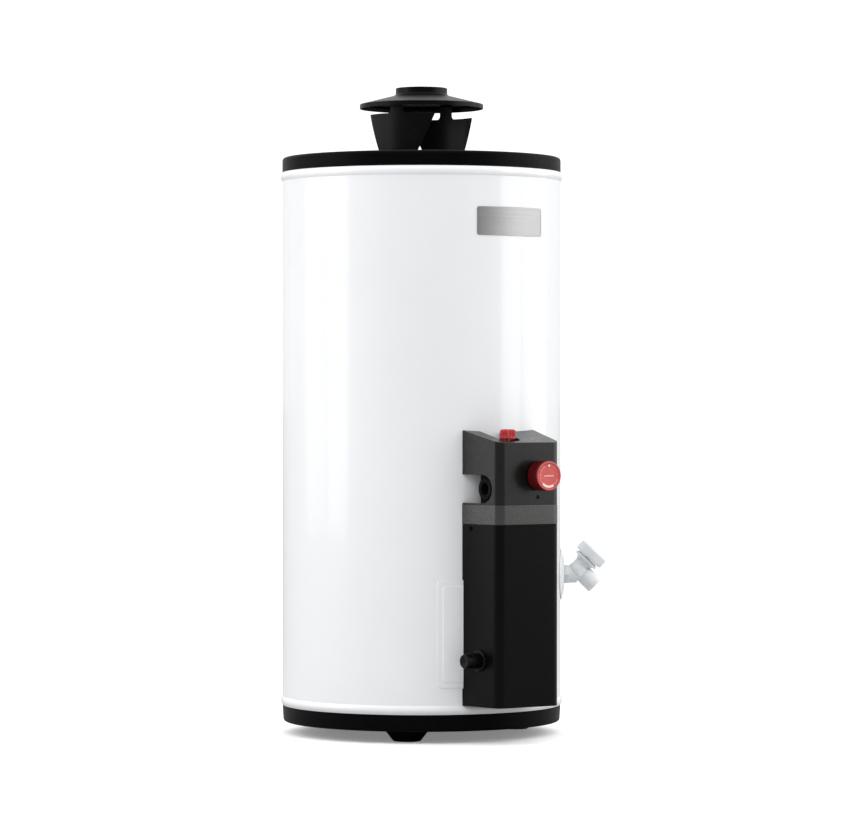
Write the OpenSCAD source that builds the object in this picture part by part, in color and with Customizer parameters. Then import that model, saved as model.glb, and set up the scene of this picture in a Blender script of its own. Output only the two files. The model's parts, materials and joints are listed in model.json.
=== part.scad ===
// Gas storage water heater: jacketed tank on three feet, draft hood, gas control, drain valve.
// The origin is on the tank's axis at floor level, +Z is up and the gas control faces -Y.
// A bearing is an angle from the front (-Y) towards +X.

/* [Jacket] */
// Outside radius of the sheet jacket
jacket_r = 205; // [204:0.5:206]
// Height of the jacket's bottom edge above the floor
jacket_bottom = 42; // [41.5:0.5:42.5]
// Height of the jacket's top edge above the floor
jacket_top = 824; // [823:0.5:825]
// Thickness of the jacket sheet
jacket_sheet = 1; // [0.8:0.1:1.2]
// How far the rolled beads stand proud
bead_bulge = 3; // [2:0.5:4]
// Height of a rolled bead
bead_height = 13; // [10:1:14]

/* [Covers and feet] */
// Height of the top cover
lid_height = 22; // [20:1:24]
// Thickness of the top cover and the base pan
pan_sheet = 1.2; // [1:0.1:1.4]
// Radius of a foot at the floor
foot_low_r = 19.5; // [18:0.5:22]
// Radius of a foot under the base pan
foot_high_r = 33; // [31:1:36]
// Height of a foot
foot_height = 17.4; // [16:0.2:18]
// Distance from the tank's axis to the middle of a foot
foot_reach = 150; // [145:1:155]

/* [Draft hood] */
// Radius of the hat's rim
hat_r = 91; // [89:1:94]
// Height of the hat's rim above the floor
hat_rim_z = 918.6; // [917:0.2:920]
// Radius of the flue collar, for a 3-inch vent
collar_r = 38; // [37.8:0.1:38.2]
// Height of the flue collar's top above the floor
collar_top = 949; // [947:1:952]
// Radius on which the two legs stand
leg_r = 81; // [79:1:82]
// Bearing of the first leg
leg_bearing = -61; // [-66:1:-56]

/* [Tank] */
// Outside radius of the steel tank
tank_r = 158; // [156:1:160]
// Thickness of the tank's steel
tank_wall = 2; // [1.8:0.1:2.2]
// Height of the tank's lower seam
tank_bottom = 200; // [198:1:202]
// Height of the tank's upper seam
tank_top = 745; // [740:1:750]
// Distance from the tank's axis to each water connection
spud_reach = 127; // [125:1:129]
// Thread bore radius of a 3/4-inch connection
water_thread_r = 12.1; // [12:0.1:12.2]

/* [Control cover] */
// Distance from the tank's axis to the cover's front face
cover_front = 273; // [271:1:275]
// Half width of the cover's front face
cover_half = 53.7; // [52:0.5:56]
// Angle by which each side flares towards the back
cover_flare = 6.15; // [5:0.05:7]
// Radius of the cover's front corners
cover_corner = 13; // [8:1:15]
// Height of the cover's underside
cover_low = 55; // [54:0.5:56]
// Height of the cover's top at its back edge
cover_high = 447.3; // [446:0.5:449]
// Slope of the cover's top
cover_slope = 12.5; // [11:0.5:13]
// Wall thickness of the cover
cover_wall = 2; // [1.8:0.1:2.2]
// Lower edge of the trim band
band_low = 314; // [313:0.5:315]
// Upper edge of the trim band
band_high = 341.5; // [341:0.5:342]

/* [Controls] */
// Sideways place of the temperature dial
dial_x = 16; // [15:0.5:17]
// Height of the temperature dial
dial_z = 383; // [382:0.5:384]
// Radius of the temperature dial
dial_r = 21.5; // [20:0.5:22]
// How far the dial stands out from the cover
dial_reach = 26; // [24:0.5:27]
// Sideways place of the gas cock
cock_x = -19; // [-20:0.5:-18]
// Distance from the tank's axis to the gas cock
cock_out = 247; // [246:0.5:248]
// Radius of the gas cock's knob
cock_r = 11.5; // [11:0.25:12]
// Height of the gas inlet
inlet_z = 364; // [363:0.5:365]
// Thread bore radius of the 1/2-inch gas inlet
gas_thread_r = 9.15; // [9.1:0.05:9.2]
// Height of the igniter button
piezo_z = 121; // [120:1:122]
// Distance from the tank's axis to the igniter button
piezo_out = 233; // [231:1:235]

/* [Drain valve] */
// Bearing of the drain valve
drain_bearing = 56; // [54:1:58]
// Height of the drain valve's inlet
drain_z = 233; // [232:0.5:234]
// Elevation of the handle's axis
handle_rise = 47; // [45:1:48]
// Fall of the spout below level
spout_fall = 44; // [43:1:46]
// Radius of the handle
handle_r = 23.3; // [22:0.1:24]
// Radius of the 3/4-inch hose thread
hose_thread_r = 13.4; // [13.2:0.1:13.5]

/* [Plates] */
// Half of the access panel's sweep round the jacket, in degrees
panel_half_sweep = 27.8; // [27:0.2:28]
// Height of the access panel
panel_height = 153; // [150:1:155]
// Lower edge of the access panel
panel_low = 80; // [79:1:81]
// Width of the nameplate
plate_width = 122; // [118:1:126]
// Height of the nameplate
plate_height = 41; // [39:1:43]
// Middle height of the nameplate
plate_z = 746; // [740:1:750]

/* [Hidden] */
$fn = 96;

// Gap left between two pieces of the same body, so that they touch without sharing volume
gap = 0.1;
// Radial clearance of a shaft that turns or slides in its bore
running = 0.05;
// Length by which a cutting shape runs past what it cuts
past = 20;

lid_top = jacket_top + lid_height;
lip_outer_r = jacket_r - jacket_sheet - 0.4;
lip_depth = 10;
flue_wall = 1.6;
flue_top = lid_top + 6;
flue_hole_r = collar_r + 1.5;
dome_r = 320;
spud_r = 16.7;
spud_top = lid_top + 2;
boss_r = 18.5;
boss_hole_r = boss_r + gap;
thread_length = 20;
spud_bore_r = 10.8;
dip_low = 290;
dip_r = 9.5;
shank_r = 13.2;
tube_z = 112;
tube_out = 235;
tube_hole_r = 26;
burner_z = 136;
panel_width = 2 * jacket_r * sin(panel_half_sweep);
valve_floor = 322;
valve_roof = 422;
valve_width = 86;
valve_depth = 52;
probe_z = 345;
relief_bearing = 120;
relief_z = 700;
pilot_x = 28;
flame_out = 68;
electrode_x = 48;
lead_x = -14;
lead_z = 130;
drain_joint_out = 25.6;
drain_joint_up = 8.1;
black = "#1b1b1c";
enamel = "#f2f4f5";
red = "#c01822";
zinc = "#b9bcc0";
steel = "#8f949a";
brass = "#b9924a";

// ---- helpers ----

// Points of an arc about (cx, cy), from angle a0 to angle a1
function arc(cx, cy, r, a0, a1, steps = 6) =
    [for (i = [0:steps]) let (a = a0 + (a1 - a0) * i / steps) [cx + r * cos(a), cy + r * sin(a)]];

// Outline of a rounded rectangle about the origin
function rounded(w, h, r) = concat(
    arc(w / 2 - r, h / 2 - r, r, 0, 90), arc(r - w / 2, h / 2 - r, r, 90, 180),
    arc(r - w / 2, r - h / 2, r, 180, 270), arc(w / 2 - r, r - h / 2, r, 270, 360));

// Half sine bump on a wall of radius r, from height z0 to z1
function bead(r, z0, z1) =
    [for (i = [0:10]) [r + bead_bulge * sin(18 * i), z0 + (z1 - z0) * i / 10]];

function reversed(points) = [for (i = [len(points) - 1:-1:0]) points[i]];

// Rise of a tank head above its seam at distance r from the axis
function dome(r) = sqrt(dome_r * dome_r - r * r) - sqrt(dome_r * dome_r - tank_r * tank_r);

// Outline of a tank head from radius r0 to r1, lifted to height z
function dome_line(r0, r1, z) =
    [for (i = [0:12]) let (r = r0 + (r1 - r0) * i / 12) [r, z + dome(min(r, tank_r))]];

// Half width of the cover at a distance from the tank's axis
function cover_half_at(out, inset = 0) =
    cover_half + (cover_front - out) * tan(cover_flare) - inset / cos(cover_flare);

// Plan outline of the cover, moved inward by inset
function cover_outline(inset) = let (
    front = cover_front - inset,
    back = 170,
    r = cover_corner - inset,
    cx = cover_half_at(front, inset) - r * (1 - sin(cover_flare)) / cos(cover_flare),
    half = cover_half_at(back, inset))
    concat([[half, -back]], arc(cx, r - front, r, -cover_flare, -90, 10),
        arc(-cx, r - front, r, -90, cover_flare - 180, 10), [[-half, -back]]);

module at_bearing(angle) rotate([0, 0, angle]) children();

// Lays what stands on the origin along -Y, away from the tank
module outward() rotate([90, 0, 0]) children();

// A radial line out of the tank at a bearing and a height; +Z of the children points outward
module radial(bearing, z, out = 0) at_bearing(bearing) translate([0, -out, z]) outward() children();

module tube(outer, inner, length) difference() {
    cylinder(r = outer, h = length);
    translate([0, 0, -1]) cylinder(r = inner, h = length + 2);
}

// Solid round bar along a list of points, with ball corners a little thicker than the bar
module bar_along(points, r) {
    for (i = [0:len(points) - 2]) {
        d = points[i + 1] - points[i];
        translate(points[i]) rotate([0, acos(d[2] / norm(d)), atan2(d[1], d[0])])
            cylinder(r = r, h = norm(d), $fn = 32);
    }
    for (i = [1:1:len(points) - 2]) translate(points[i]) sphere(r = r * 1.15, $fn = 32);
}

// Part of the wall of a vertical cylinder, seen from the front as the given outline
module wrapped(inner, outer, outline, z) intersection() {
    translate([0, 0, z - 200]) tube(outer, inner, 400);
    translate([0, 0, z]) outward() linear_extrude(outer + past) polygon(outline);
}

// Round-headed screw: its head sits on the origin and its shank goes down
module screw(head_r, head_h, shank, length) {
    cylinder(r = head_r, h = head_h, $fn = 32);
    translate([0, 0, -length]) cylinder(r = shank, h = length + 0.2, $fn = 32);
}

// ---- jacket, lid, pan and feet ----

module outer_jacket() color(enamel) difference() {
    rotate_extrude() polygon(concat(
        [[jacket_r, jacket_bottom]],
        bead(jacket_r, jacket_bottom + 0.5, jacket_bottom + bead_height),
        bead(jacket_r, jacket_top - bead_height, jacket_top - 0.5),
        [[jacket_r, jacket_top], [jacket_r - jacket_sheet, jacket_top]],
        reversed(bead(jacket_r - jacket_sheet, jacket_top - bead_height, jacket_top - 0.5)),
        reversed(bead(jacket_r - jacket_sheet, jacket_bottom + 0.5, jacket_bottom + bead_height)),
        [[jacket_r - jacket_sheet, jacket_bottom]]));
    translate([-60, -jacket_r - past, 92]) cube([120, 2 * past, 116]);
    radial(0, probe_z, 150) cylinder(r = 20, h = 80);
    radial(drain_bearing, drain_z, 150) cylinder(r = 16, h = 80);
    radial(relief_bearing, relief_z, 150) cylinder(r = spud_r + 1.3, h = 80);
}

module top_cover() color(black) difference() {
    rotate_extrude() polygon(concat(
        [[jacket_r, jacket_top + gap]],
        arc(jacket_r - 5, lid_top - 5, 5, 0, 90),
        [[flue_hole_r, lid_top], [flue_hole_r, lid_top - pan_sheet]],
        arc(jacket_r - 5, lid_top - 5, 5 - pan_sheet, 90, 0),
        [[jacket_r - pan_sheet, jacket_top + 4], [lip_outer_r - 1, jacket_top + 2],
         [lip_outer_r - 1, jacket_top - lip_depth], [lip_outer_r, jacket_top - lip_depth],
         [lip_outer_r, jacket_top + gap]]));
    for (x = [-spud_reach, spud_reach])
        translate([x, 0, lid_top - past]) cylinder(r = spud_r + 1.3, h = 2 * past);
    translate([0, 100, lid_top - past]) cylinder(r = spud_r + 1.3, h = 2 * past);
    hood_screw_places() translate([0, 0, -past]) cylinder(r = 2.1, h = 2 * past, $fn = 32);
}

module base_pan() color(black) difference() {
    rotate_extrude() polygon(concat(
        [[40, foot_height]],
        arc(jacket_r - 5.5, foot_height + 4, 4, -90, -4),
        [[jacket_r, jacket_bottom - gap], [lip_outer_r, jacket_bottom - gap],
         [lip_outer_r, jacket_bottom + lip_depth], [lip_outer_r - 1, jacket_bottom + lip_depth],
         [lip_outer_r - 1, jacket_bottom - 3]],
        arc(jacket_r - 5.5, foot_height + 4, 4 - pan_sheet, -4, -90),
        [[40, foot_height + pan_sheet]]));
    for (a = [0:60:300]) rotate([0, 0, a]) translate([90, 0, 0]) cylinder(r = 12, h = 40);
    foot_places() cylinder(r = 3.2, h = 40);
}

module foot_places() for (a = [-42, 78, 198]) at_bearing(a) translate([0, -foot_reach, 0]) children();

// Pressed cup foot at a bearing
module foot(bearing) color(black) at_bearing(bearing) translate([0, -foot_reach, 0]) difference() {
    cylinder(r1 = foot_low_r, r2 = foot_high_r, h = foot_height - gap);
    translate([0, 0, 1.5]) cylinder(r1 = foot_low_r - 1.5, r2 = foot_high_r - 1.5, h = foot_height);
    translate([0, 0, -1]) cylinder(r = 3.2, h = 5);
}

module front_foot() foot(-42);
module right_foot() foot(78);
module rear_foot() foot(198);

module foot_bolts() color(zinc) foot_places() {
    translate([0, 0, 1.6]) cylinder(r = 3, h = 22, $fn = 32);
    translate([0, 0, 1.6]) cylinder(r = 7, h = 4, $fn = 6);
    translate([0, 0, foot_height + pan_sheet + gap]) cylinder(r = 6.5, h = 4, $fn = 6);
}

// ---- tank, flue and insulation ----

module inner_tank() color("#38506b") difference() {
    rotate_extrude() polygon(concat(
        dome_line(collar_r + gap, tank_r, tank_bottom),
        dome_line(tank_r, collar_r + gap, tank_top),
        dome_line(collar_r + gap, tank_r - tank_wall, tank_top - tank_wall),
        dome_line(tank_r - tank_wall, collar_r + gap, tank_bottom + tank_wall)));
    for (p = [[-spud_reach, 0], [spud_reach, 0], [0, 100]])
        translate([p[0], p[1], tank_top - 60]) cylinder(r = spud_r + gap, h = 200);
    radial(0, probe_z, 100) cylinder(r = boss_hole_r, h = 100);
    radial(drain_bearing, drain_z, 100) cylinder(r = boss_hole_r, h = 100);
    radial(relief_bearing, relief_z, 100) cylinder(r = spud_r + gap, h = 100);
}

module flue_tube() color(steel)
    translate([0, 0, tank_bottom + 30]) tube(collar_r, collar_r - flue_wall, flue_top - tank_bottom - 30);

// Twisted strip that slows the hot gas, hung on a cross bar from the top of the flue
module flue_baffle() color(steel) {
    baffle_low = tank_bottom + 50;
    translate([0, 0, baffle_low])
        linear_extrude(flue_top - baffle_low, twist = 540, slices = 54, $fn = 8)
            square([60, 1.5], center = true);
    translate([-collar_r + 0.5, -4, flue_top]) cube([2 * collar_r - 1, 8, 1.5]);
}

module foam_insulation() color("#e9d9a6") difference() {
    rotate_extrude() polygon(concat(
        [[tank_r + 0.3, tank_bottom], [jacket_r - 1.6, tank_bottom],
         [jacket_r - 1.6, jacket_top - lip_depth - 4], [lip_outer_r - 1.5, jacket_top - lip_depth - 2],
         [lip_outer_r - 1.5, lid_top - 8], [flue_hole_r, lid_top - 8]],
        dome_line(flue_hole_r, tank_r + 0.3, tank_top + 0.4)));
    for (p = [[-spud_reach, 0], [spud_reach, 0], [0, 100]])
        translate([p[0], p[1], tank_top - 60]) cylinder(r = spud_r + 1.3, h = 200);
    radial(0, probe_z, 100) cylinder(r = 20, h = 120);
    radial(drain_bearing, drain_z, 100) cylinder(r = 20, h = 120);
    radial(relief_bearing, relief_z, 100) cylinder(r = spud_r + 1.3, h = 120);
}

module combustion_skirt() color(steel) difference() {
    translate([0, 0, foot_height + pan_sheet + gap])
        tube(tank_r, tank_r - 1.5, tank_bottom - foot_height - pan_sheet - 2 * gap);
    translate([-55, -tank_r - past, 85]) cube([110, 2 * past, 100]);
    translate([-tank_r - past, -18.5, burner_z - 2.5]) cube([2 * tank_r + 2 * past, 37, 3]);
}

// Pipe from the tank's head up through the lid, with a thread in its top end
module top_spud(x) color(steel) translate([x, 0, 0]) difference() {
    translate([0, 0, tank_top + 2]) cylinder(r = spud_r, h = spud_top - tank_top - 2);
    translate([0, 0, spud_top - thread_length]) cylinder(r = water_thread_r, h = 2 * thread_length);
    translate([0, 0, tank_top]) cylinder(r = spud_bore_r, h = spud_top - tank_top);
}

module cold_water_spud() top_spud(spud_reach);
module hot_water_spud() top_spud(-spud_reach);

// Plastic pipe down to the bottom of the tank, held by its collar in the spud's narrow bore
module dip_tube() color("#e8e4d8") translate([spud_reach, 0, dip_low]) difference() {
    union() {
        cylinder(r = dip_r, h = spud_top - thread_length - dip_low - 1);
        translate([0, 0, spud_top - thread_length - dip_low - 6]) cylinder(r = spud_bore_r - gap, h = 5);
    }
    translate([0, 0, -1]) cylinder(r = dip_r - 1.5, h = tank_top);
}

// Sacrificial rod, its hexagonal plug and the pipe that the plug screws into
module anode_rod() color("#a7a9a6") translate([0, 100, 0]) {
    translate([0, 0, 380]) cylinder(r = 8, h = lid_top - 380);
    translate([0, 0, tank_top + 8]) cylinder(r = spud_r, h = lid_top - tank_top - 12);
    translate([0, 0, lid_top - 4.5]) cylinder(r = 15.5, h = 9, $fn = 6);
}

module relief_valve_spud() color(steel)
    radial(relief_bearing, relief_z, 150) tube(spud_r, water_thread_r, jacket_r - 150 + 2);

module control_spud() color(steel) radial(0, probe_z, 150) tube(boss_r, shank_r + gap, 14);
module drain_spud() color(steel) radial(drain_bearing, drain_z, 150) tube(boss_r, shank_r + gap, 14);

// ---- draft hood ----

module draft_hood_cap() color(black) rotate_extrude() polygon(concat(
    [[hat_r, hat_rim_z], [hat_r, hat_rim_z + 6.4], [41.5, hat_rim_z + 18.8],
     [collar_r, collar_top - 9.4]],
    arc(collar_r - 1.6, collar_top - 1.6, 1.6, 0, 150),
    [[collar_r - 1.2, collar_top - 2.4], [collar_r - 1.2, collar_top - 9.8],
     [40.4, hat_rim_z + 17.8], [hat_r - 1.2, hat_rim_z + 5.4], [hat_r - 1.2, hat_rim_z]]));

// Curved leg: narrow at the lid, wide at the top, with a tab that reaches up under the hat
module hood_leg(bearing) color(black) at_bearing(bearing) {
    wide = leg_r * sin(41);
    waist = leg_r * sin(24);
    foot_half = leg_r * sin(20);
    tab = leg_r * sin(7);
    top = hat_rim_z - 10.6;
    cap = hat_rim_z + 6.6;
    wrapped(leg_r - 1, leg_r, concat(
        [[-foot_half, gap], [foot_half, gap], [waist, 14]],
        arc(wide - 2, top - lid_top - 2, 2, 0, 90),
        [[tab, top - lid_top], [tab, cap - lid_top], [-tab, cap - lid_top], [-tab, top - lid_top]],
        arc(2 - wide, top - lid_top - 2, 2, 90, 180), [[-waist, 14]]), lid_top);
    difference() {
        intersection() {
            translate([0, 0, lid_top + gap]) tube(leg_r + 13, leg_r - 1, 1);
            translate([0, -leg_r - 6, lid_top]) cube([46, 24, 8], center = true);
        }
        leg_screw_places() cylinder(r = 2.1, h = 10, center = true, $fn = 32);
    }
}

module leg_screw_places() for (x = [-14, 14]) translate([x, 1 - leg_r - 7, lid_top]) children();
module hood_screw_places() for (b = [0, 180]) at_bearing(leg_bearing + b) leg_screw_places() children();

module draft_hood_left_leg() hood_leg(leg_bearing);
module draft_hood_right_leg() hood_leg(leg_bearing + 180);
module draft_hood_screws() color(zinc) hood_screw_places() translate([0, 0, 1.2]) screw(3.6, 2.4, 1.9, 7);

// ---- gas control ----

module dial_axis(out) translate([dial_x, -out, dial_z]) outward() children();
module cock_axis(z) translate([cock_x, -cock_out, z]) children();

module gas_valve_body() color(zinc) difference() {
    union() {
        translate([0, -tube_out, valve_floor])
            linear_extrude(valve_roof - valve_floor) polygon(rounded(valve_width, valve_depth, 8));
        translate([-valve_width / 2 - 9, -237, inlet_z]) rotate([0, 90, 0]) cylinder(r = 15, h = 20);
        translate([0, 0, probe_z]) translate([0, -tube_out, 0]) rotate([-90, 0, 0])
            cylinder(r = shank_r, h = tube_out - 151);
        translate([dial_x, -tube_out, dial_z]) outward() cylinder(r = 11, h = 34);
    }
    translate([-valve_width / 2 - 10, -237, inlet_z]) rotate([0, 90, 0])
        cylinder(r = gas_thread_r, h = 17);
    translate([0, -tube_out, valve_floor - 1]) cylinder(r = 6.45, h = 11);
    translate([20, -tube_out, valve_floor - 1]) cylinder(r = 3.3, h = 9);
    translate([-20, -tube_out, valve_floor - 1]) cylinder(r = 1.7, h = 9);
    dial_axis(240) cylinder(r = 3 + running, h = 40);
    cock_axis(400) cylinder(r = 8 + running, h = 40);
    cock_axis(382) cylinder(r = 4, h = 40);
    translate([0, -200, probe_z]) rotate([-90, 0, 0]) cylinder(r = 4.6, h = 60);
}

module thermostat_probe() color("#b87349")
    translate([0, -195, probe_z]) rotate([-90, 0, 0]) cylinder(r = 4.5, h = 135);

module dial_shaft() color(brass) dial_axis(242) cylinder(r = 3, h = 48);

module temperature_dial() color(red) dial_axis(cover_front + 1.8) difference() {
    union() {
        cylinder(r1 = dial_r - 1.2, r2 = dial_r - 0.6, h = dial_reach - 3.3);
        translate([0, 0, dial_reach - 3.4]) cylinder(r1 = dial_r - 0.6, r2 = dial_r - 2, h = 1.6);
        for (a = [0:12:348]) rotate([0, 0, a]) translate([dial_r - 0.9, 0, 0])
            cylinder(r = 0.9, h = dial_reach - 4.2, $fn = 16);
    }
    difference() {
        translate([0, 0, -1]) cylinder(r = dial_r - 4, h = dial_reach - 6);
        translate([0, 0, -2]) cylinder(r = 6, h = dial_reach);
    }
    translate([0, 0, -1]) cylinder(r = 3 + gap / 2, h = 17);
}

module dial_bezel() color(black) dial_axis(cover_front + gap) tube(dial_r - 2.5, 12, 1.2);

module gas_cock_bezel() color(black) cock_axis(valve_roof + gap) tube(14, 8.4, 3.5);
module gas_cock_plug() color(brass) cock_axis(400.2) tube(8, 3 + running, 27);
module gas_cock_stem() color(brass) cock_axis(392) cylinder(r = 3, h = 53);

module gas_cock_knob() color(red) cock_axis(434) difference() {
    union() {
        cylinder(r = cock_r - 0.7, h = 13.5);
        translate([0, 0, 13.4]) cylinder(r1 = cock_r - 0.7, r2 = cock_r - 2, h = 1.4);
        for (a = [0:18:342]) rotate([0, 0, a]) translate([cock_r - 0.8, 0, 0])
            cylinder(r = 0.8, h = 13, $fn = 16);
    }
    translate([0, 0, -1]) cylinder(r = 3 + gap / 2, h = 12.1);
}

// ---- control cover ----

// Prism between two heights inside the cover's outline, cut off by its sloping top
module cover_prism(inset, low, high, drop = 0) difference() {
    translate([0, 0, low]) linear_extrude(high - low) polygon(cover_outline(inset));
    translate([-100, -195, cover_high - drop]) rotate([cover_slope, 0, 0])
        translate([0, -200, 0]) cube([200, 300, 80]);
}

module left_face(out, z) translate([-cover_half_at(out), -out, z]) rotate([0, 0, cover_flare])
    rotate([0, -90, 0]) children();
module right_face(out, z) mirror([1, 0, 0]) left_face(out, z) children();
module cover_screw_places() {
    left_face(214, band_low - 6) children();
    right_face(214, band_low - 6) children();
}

module control_cover_upper() color("#3a3a38") difference() {
    cover_prism(0, band_high + gap, cover_high + 10);
    cover_prism(cover_wall, band_high - past, cover_high + 10, cover_wall);
    cylinder(r = jacket_r + 0.4, h = 500);
    translate([-80, -239, inlet_z]) rotate([0, 90, 0]) cylinder(r = 20, h = 45);
    translate([-80, -239, inlet_z - 20]) cube([45, 80, 40]);
    cock_axis(400) cylinder(r = 17, h = 80);
    translate([cock_x - 17, -cock_out, 400]) cube([34, 80, 80]);
    dial_axis(240) cylinder(r = 12, h = 60);
}

module control_cover_band() color("#5a5a58") difference() {
    cover_prism(-0.4, band_low, band_high);
    cover_prism(cover_wall, band_low - past, band_high + past);
    cylinder(r = jacket_r + 0.4, h = 500);
}

module control_cover_lower() color(black) difference() {
    cover_prism(0, cover_low, band_low - gap);
    cover_prism(cover_wall, cover_low + cover_wall, band_low + past);
    cylinder(r = jacket_r + 0.4, h = 500);
    translate([0, 0, panel_low - 1]) cylinder(r = jacket_r + 2.6, h = panel_height + 2);
    left_face(piezo_out, piezo_z) cylinder(r = 9.3, h = 20, center = true);
    cover_screw_places() cylinder(r = 2.2, h = 20, center = true, $fn = 32);
}

// Two plates on the jacket that the cover is screwed to
module cover_brackets() color(zinc) difference() {
    for (side = [0, 1]) mirror([side, 0, 0]) left_face(0, 0)
        translate([band_low - 18, -229, -cover_wall - 1.7]) cube([24, 29, 1.5]);
    cylinder(r = jacket_r + 0.2, h = 500);
    cover_screw_places() cylinder(r = 2.2, h = 20, center = true, $fn = 32);
}

module cover_screws() color("#2a2a2a")
    cover_screw_places() translate([0, 0, gap]) screw(3.2, 1.8, 2, 7);

// ---- panels on the jacket ----

module access_panel() color(enamel) difference() {
    union() {
        wrapped(jacket_r + 0.2, jacket_r + 1.2, rounded(panel_width, panel_height, 7),
            panel_low + panel_height / 2);
        wrapped(jacket_r + 0.6, jacket_r + 2, rounded(panel_width - 16, panel_height - 16, 5),
            panel_low + panel_height / 2);
    }
    radial(0, tube_z, 100) cylinder(r = tube_hole_r, h = 120);
    panel_screw_places() cylinder(r = 2.2, h = 60, center = true, $fn = 32);
}

module panel_screw_places() for (a = [-12, 12]) radial(a, panel_low + panel_height - 15, jacket_r + 2.1)
    children();
module access_panel_screws() color(zinc) panel_screw_places() screw(4, 2, 2, 1.9);

module inner_access_door() color(steel) difference() {
    wrapped(tank_r + 0.2, tank_r + 1.4, rounded(126, 116, 6), 134);
    radial(0, tube_z, 100) cylinder(r = tube_hole_r, h = 120);
}

module nameplate() color("#c8c8c8") at_bearing(6)
    wrapped(jacket_r + 0.1, jacket_r + 1, rounded(plate_width, plate_height, 4), plate_z);

// ---- igniter, burner and pilot ----

module piezo_axis(out) left_face(piezo_out, piezo_z) translate([0, 0, out]) children();

module piezo_igniter_body() color(black) piezo_axis(0) difference() {
    union() {
        translate([0, 0, -34]) cylinder(r = 9, h = 40);
        translate([0, 0, 4.6]) cylinder(r = 11.3, h = 14.4);
        translate([0, 0, -4.6]) cylinder(r = 12, h = 2.4);
    }
    translate([0, 0, 7.5]) cylinder(r = 10.3 + running, h = 20);
    translate([0, 0, -20]) cylinder(r = 4, h = 40);
}

module piezo_nut() color(black) piezo_axis(gap) tube(15.5, 9 + gap, 4.4);
module piezo_button() color(black) piezo_axis(15.5) union() {
    cylinder(r = 10.3, h = 12.3);
    translate([0, 0, 12.2]) cylinder(r1 = 10.3, r2 = 8.8, h = 1.3);
}

// Drops from the igniter's tail, goes through the access hole and rises to the electrode
module igniter_lead() color("#7a2a22") bar_along([
    [-cover_half_at(piezo_out) + 35.5, 3.7 - piezo_out, piezo_z],
    [lead_x, 3.7 - piezo_out, piezo_z], [lead_x, 3.7 - piezo_out, lead_z], [lead_x, -120, lead_z],
    [electrode_x, -120, lead_z], [electrode_x, -flame_out, lead_z],
    [electrode_x, -flame_out, 138 - gap]], 1.3);

module igniter_electrode() color("#efeae0") translate([electrode_x, -flame_out, 138]) {
    cylinder(r = 3.5, h = 26);
    translate([0, 0, 25]) cylinder(r = 1, h = 12, $fn = 24);
}

// Pressed-steel burner: a throat below and a round chamber whose rim holds the ports
module burner() color(steel) difference() {
    rotate_extrude() polygon([
        [14, burner_z - 6], [14, burner_z + 10], [58, burner_z + 18], [64, burner_z + 24],
        [64, burner_z + 30], [58, burner_z + 36], [0, burner_z + 38], [0, burner_z + 36.4],
        [57.4, burner_z + 34.4], [62.4, burner_z + 29.4], [62.4, burner_z + 24.8],
        [57.4, burner_z + 19.6], [12.4, burner_z + 11.4], [12.4, burner_z - 6]]);
    for (a = [0:15:345]) rotate([0, 0, a]) translate([52, 0, burner_z + 27]) rotate([0, 90, 0])
        cylinder(r = 1.4, h = 20, $fn = 24);
}

module burner_bracket() color(zinc) difference() {
    union() {
        translate([1 - tank_r, -18, burner_z - 2]) cube([2 * tank_r - 2, 36, 2]);
        translate([18, -10 - flame_out, burner_z - 2]) cube([38, flame_out, 2]);
    }
    translate([0, 0, burner_z - past]) cylinder(r = 14 + gap, h = 2 * past);
    for (x = [pilot_x, pilot_x + 10, pilot_x + 20])
        translate([x, -flame_out, burner_z - past]) cylinder(r = 3.6, h = 2 * past, $fn = 32);
}

// Quarter bend in the YZ plane about the origin, starting at the given angle
module bend(start, r, bend_r) rotate([90, 0, 90]) rotate([0, 0, start])
    rotate_extrude(angle = 90) translate([bend_r, 0]) circle(r = r);

module manifold_run(r, extra) {
    bend_r = 16;
    translate([0, -tube_out, tube_z + bend_r])
        cylinder(r = r, h = valve_floor + 8 - tube_z - bend_r + extra);
    translate([0, bend_r - tube_out, tube_z + bend_r]) bend(180, r, bend_r);
    translate([0, bend_r - tube_out, tube_z]) rotate([-90, 0, 0])
        cylinder(r = r, h = tube_out - 12 - bend_r);
    translate([0, -12, tube_z + 12]) bend(270, r, 12);
    translate([0, 0, tube_z + 12]) cylinder(r = r, h = 1 + extra);
}

module burner_manifold_tube() color("#c9ccd0") difference() {
    manifold_run(6.35, 0);
    manifold_run(5.1, 5);
}

module manifold_nut() color(brass) translate([0, -tube_out, valve_floor - 12]) difference() {
    cylinder(r = 11, h = 12 - gap, $fn = 6);
    translate([0, 0, -1]) cylinder(r = 6.45, h = 20);
}

module burner_orifice() color(brass) translate([0, 0, tube_z + 13 + gap]) difference() {
    union() {
        cylinder(r = 8, h = 6, $fn = 6);
        translate([0, 0, 5.5]) cylinder(r1 = 6, r2 = 3, h = 5);
    }
    translate([0, 0, -1]) cylinder(r = 0.9, h = 20, $fn = 24);
}

module pilot_burner() color(brass) translate([pilot_x, -flame_out, burner_z - 4]) difference() {
    cylinder(r = 3.5, h = 38);
    translate([0, 0, -1]) cylinder(r = 1.6, h = 60, $fn = 24);
    translate([0, 0, 33]) rotate([90, 0, 0]) cylinder(r = 1.6, h = 20, center = true, $fn = 24);
}

module pilot_tube() color("#c9ccd0") bar_along([
    [20, -tube_out, valve_floor + 7], [20, -tube_out, 118], [20, -160, 118],
    [pilot_x, -flame_out, 118], [pilot_x, -flame_out, burner_z - 4 - gap]], 3.2);

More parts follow.
